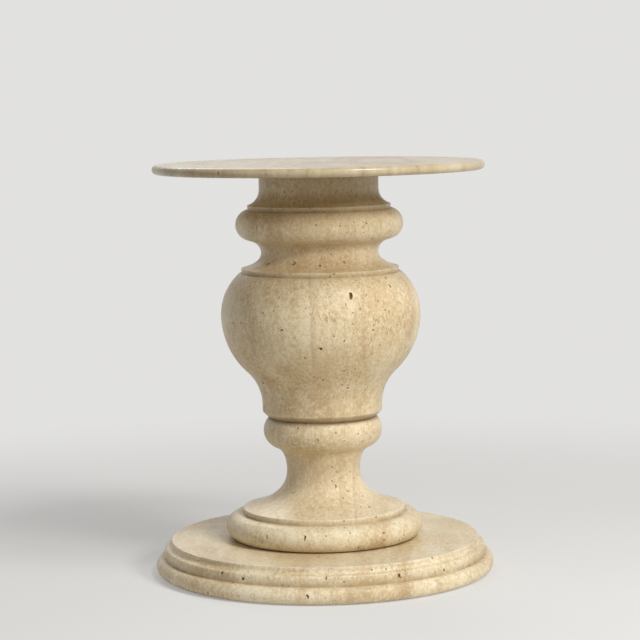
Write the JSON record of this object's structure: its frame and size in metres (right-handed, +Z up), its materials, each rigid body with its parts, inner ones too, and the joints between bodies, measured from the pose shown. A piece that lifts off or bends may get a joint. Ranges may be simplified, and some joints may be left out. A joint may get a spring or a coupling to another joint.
{
  "type": "dining table pedestal",
  "caption": "Turned travertine pedestal for a dining table: moulded round plinth, flared foot, urn-shaped body, collared neck and a thin round plate that carries the table top.",
  "frame": {"origin": "centre of the plinth's underside, on the floor", "axes": "+Z up along the turning axis; the round form has no marked front, and -Y is the side seen in the picture"},
  "size_m": [0.5999, 0.5998, 0.724],
  "materials": {
    "travertine": "honed, with open pits and faint upright veins",
    "polished_travertine": "polished top, honed bullnose edge",
    "zinc_steel": "zinc plated"
  },
  "bodies": {
    "root": {"plinth": "travertine", "foot": "travertine", "urn": "travertine", "top_plate": "polished_travertine", "tie_rod": "zinc_steel", "lower_washer": "zinc_steel", "lower_nut": "zinc_steel", "upper_washer": "zinc_steel", "upper_nut": "zinc_steel", "plate_dowels": "zinc_steel"}
  },
  "joints": []
}
